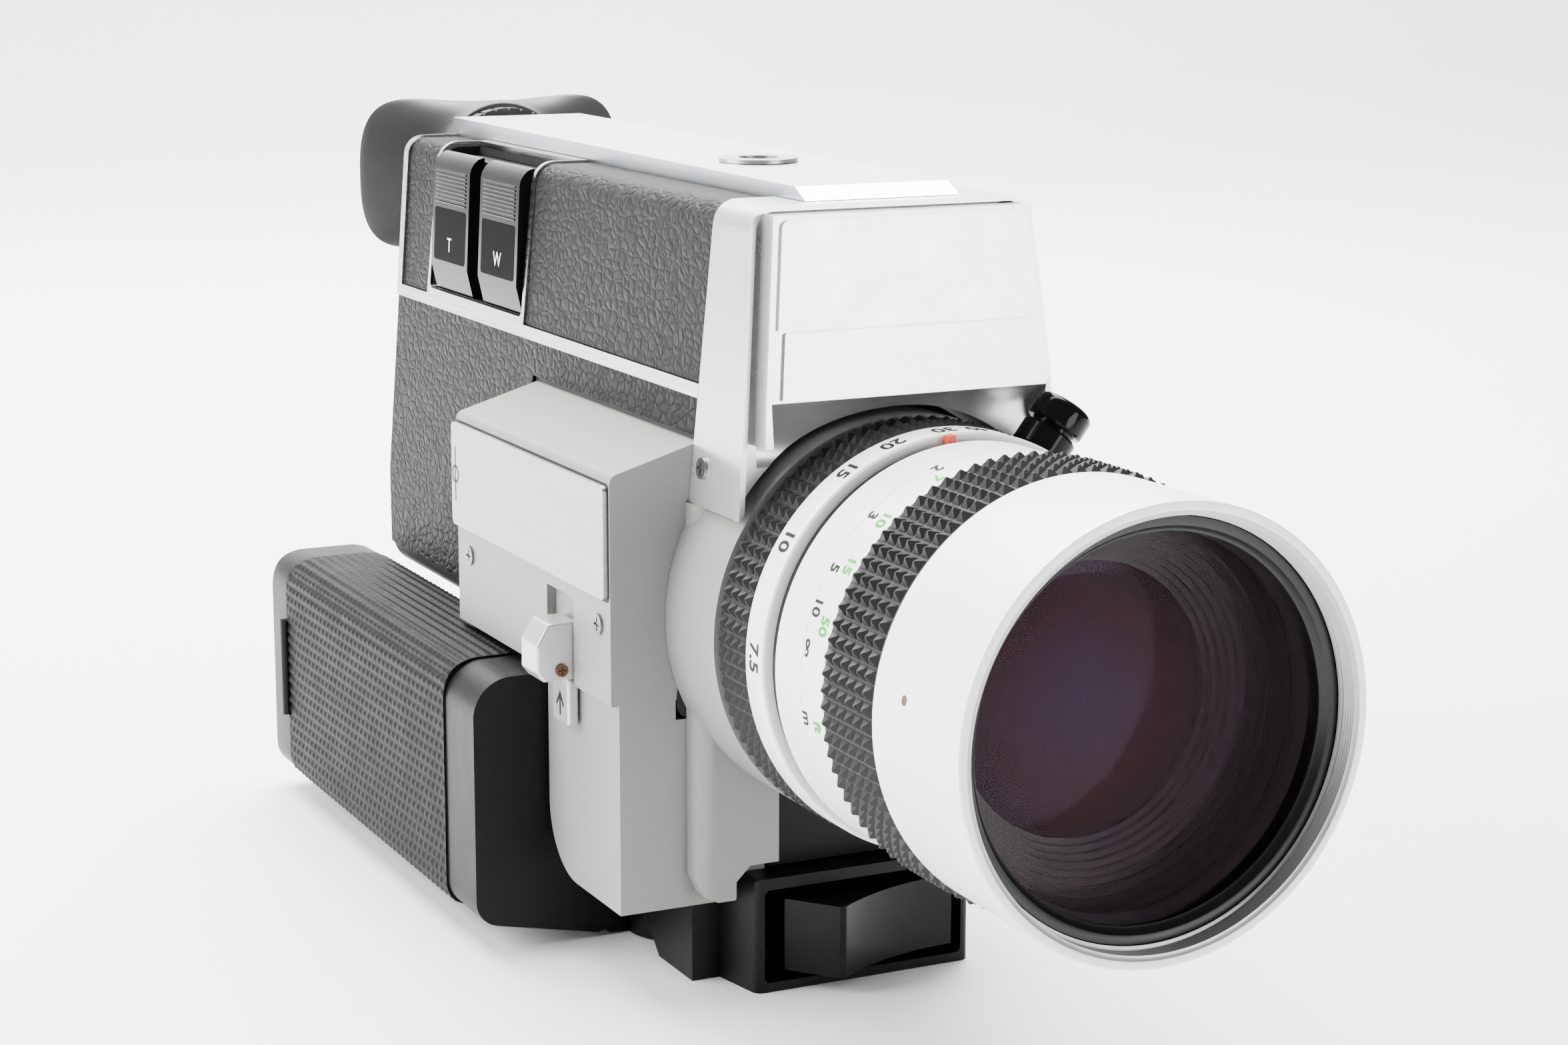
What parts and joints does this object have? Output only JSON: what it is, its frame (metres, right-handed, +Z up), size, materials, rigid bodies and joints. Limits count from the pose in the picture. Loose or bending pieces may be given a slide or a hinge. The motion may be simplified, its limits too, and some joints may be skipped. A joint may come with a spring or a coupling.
{
  "type": "cine camera",
  "caption": "Small-gauge cine camera with a long zoom lens, leather-covered body, side drive housing, eyecup and a pistol grip folded back along the side.",
  "frame": {"origin": "mouth of the tripod socket, in the foot under the lens, where the camera stands", "axes": "+Z up; -Y along the lens axis towards the subject; +X to the right of a viewer who faces the lens, which is the film door's side; the lens axis lies in the plane X = 0"},
  "size_m": [0.0846, 0.2416, 0.1275],
  "materials": {
    "housing_gray": "satin light gray enamel",
    "body_dark": "dark gray enamel on a die casting",
    "leatherette": "wrinkled grained covering",
    "bright_trim": "polished strip",
    "satin_silver": "satin anodised",
    "brushed_silver": "brushed along X",
    "plate_silver": "satin, lightly scuffed",
    "lens_silver": "pale satin anodised",
    "black_metal": "matt black",
    "black_plastic": "matt black",
    "gloss_black": "gloss black",
    "rubber_black": "moulded grip pattern",
    "knob_silver": "worn bright plating",
    "screw_brown": "tarnished",
    "steel": "plain",
    "brass": "turned",
    "lens_glass": "coated, polished",
    "nylon_white": "natural nylon",
    "cell_skin": "printed sleeve without lettering"
  },
  "bodies": {
    "body": {"body_shell": "body_dark", "leather_left": "leatherette", "leather_right": "leatherette", "side_trim": "bright_trim", "key_tray": "black_plastic", "top_plate": "plate_silver", "light_socket": "satin_silver", "front_frame": "satin_silver", "plate_upper": "satin_silver", "plate_lower": "brushed_silver", "cover_screws": "satin_silver", "drive_housing": "housing_gray", "housing_plate": "plate_silver", "lens_cowl": "housing_gray", "front_pillar": "black_plastic", "foot": "black_plastic", "tripod_bush": "brass", "hinge_pin": "steel", "trigger_guard": "black_plastic", "trigger_springs": "steel", "lens_tube": "black_metal", "index_ring": "black_metal", "rear_lens": "lens_glass", "beam_splitter": "lens_glass", "mechanism_plate": "steel", "film_gate": "steel", "film_claw": "steel", "motor": "steel", "finder_tube": "black_metal", "eyepiece_housing": "black_plastic", "eyepiece_lens": "lens_glass", "eyecup": "rubber_black", "door_hinge": "steel", "second_lens": "lens_glass"},
    "focus": {"focus_barrel": "lens_silver", "focus_rubber": "rubber_black", "retaining_ring": "black_metal", "front_lens": "lens_glass"},
    "zoom": {"zoom_ring": "lens_silver", "zoom_rubber": "rubber_black", "zoom_lever": "gloss_black"},
    "zoom_carriage": {"zoom_cell": "black_metal", "variator_lens": "lens_glass"},
    "trigger": {"trigger": "gloss_black"},
    "key_tele": {"zoom_key_tele": "gloss_black"},
    "key_wide": {"zoom_key_wide": "gloss_black"},
    "slide_switch": {"slide_switch": "knob_silver", "slide_switch_screw": "screw_brown"},
    "grip": {"grip_shell": "black_plastic", "grip_rubber": "rubber_black", "battery_cells": "cell_skin"},
    "lid": {"battery_lid": "black_plastic"},
    "door": {"film_door": "body_dark", "door_leather": "leatherette"},
    "latch": {"door_latch": "knob_silver"},
    "shutter": {"shutter_disc": "black_metal", "shutter_gear": "brass"},
    "pinion": {"motor_pinion": "nylon_white"},
    "spindle": {"film_spindle": "nylon_white"},
    "dioptre": {"dioptre_ring": "black_plastic"}
  },
  "joints": [
    {"name": "focus_turn", "type": "hinge", "parent": "body", "child": "focus", "pos_m": [0, -0.075, 0.0594], "axis": [0, 1, 0], "range_deg": [-20, 77]},
    {"name": "zoom_turn", "type": "hinge", "parent": "body", "child": "zoom", "pos_m": [0, -0.0376, 0.0594], "axis": [0, 1, 0], "range_deg": [0, 115]},
    {"name": "zoom_carriage_slide", "type": "slide", "parent": "body", "child": "zoom_carriage", "axis": [0, 1, 0], "range_m": [-0.0162, 0]},
    {"name": "trigger_press", "type": "slide", "parent": "body", "child": "trigger", "axis": [0, 1, 0], "range_m": [0, 0.0022], "stiffness_N_per_m": 700, "springref_m": -0.001},
    {"name": "key_tele_press", "type": "slide", "parent": "body", "child": "key_tele", "axis": [1, 0, 0], "range_m": [0, 0.0011], "stiffness_N_per_m": 700, "springref_m": -0.0005},
    {"name": "key_wide_press", "type": "slide", "parent": "body", "child": "key_wide", "axis": [1, 0, 0], "range_m": [0, 0.0011], "stiffness_N_per_m": 700, "springref_m": -0.0005},
    {"name": "switch_slide", "type": "slide", "parent": "body", "child": "slide_switch", "axis": [0, 0, 1], "range_m": [0, 0.003]},
    {"name": "grip_fold", "type": "hinge", "parent": "body", "child": "grip", "pos_m": [-0.0195, 0.0175, 0], "axis": [0, -0.7071, 0.7071], "range_deg": [0, 180]},
    {"name": "lid_swing", "type": "hinge", "parent": "grip", "child": "lid", "pos_m": [-0.0514, 0.11545, 0.025], "axis": [0, 0, 1], "range_deg": [0, 110]},
    {"name": "door_swing", "type": "hinge", "parent": "body", "child": "door", "pos_m": [0.02774, -0.0056, 0.0815], "axis": [0.0995, 0, -0.995], "range_deg": [0, 95]},
    {"name": "latch_turn", "type": "hinge", "parent": "door", "child": "latch", "pos_m": [0.02639, 0.108, 0.076], "axis": [0.995, 0, 0.0995], "range_deg": [0, 90]},
    {"name": "shutter_spin", "type": "hinge", "parent": "body", "child": "shutter", "pos_m": [0, 0.0415, 0.08], "axis": [0, 1, 0], "continuous": true},
    {"name": "pinion_spin", "type": "hinge", "parent": "body", "child": "pinion", "pos_m": [-0.009, 0.0415, 0.092], "axis": [0, 1, 0], "continuous": true},
    {"name": "spindle_spin", "type": "hinge", "parent": "body", "child": "spindle", "pos_m": [-0.012, 0.084, 0.096], "axis": [1, 0, 0], "continuous": true},
    {"name": "dioptre_turn", "type": "hinge", "parent": "body", "child": "dioptre", "pos_m": [0, 0.1315, 0.111], "axis": [0, 1, 0], "range_deg": [-45, 45]}
  ],
  "couplings": [
    {"joint": "zoom_carriage_slide", "follows": "zoom_turn", "m_per_rad": -0.008},
    {"joint": "pinion_spin", "follows": "shutter_spin", "ratio": -4},
    {"joint": "spindle_spin", "follows": "shutter_spin", "ratio": 0.1}
  ]
}
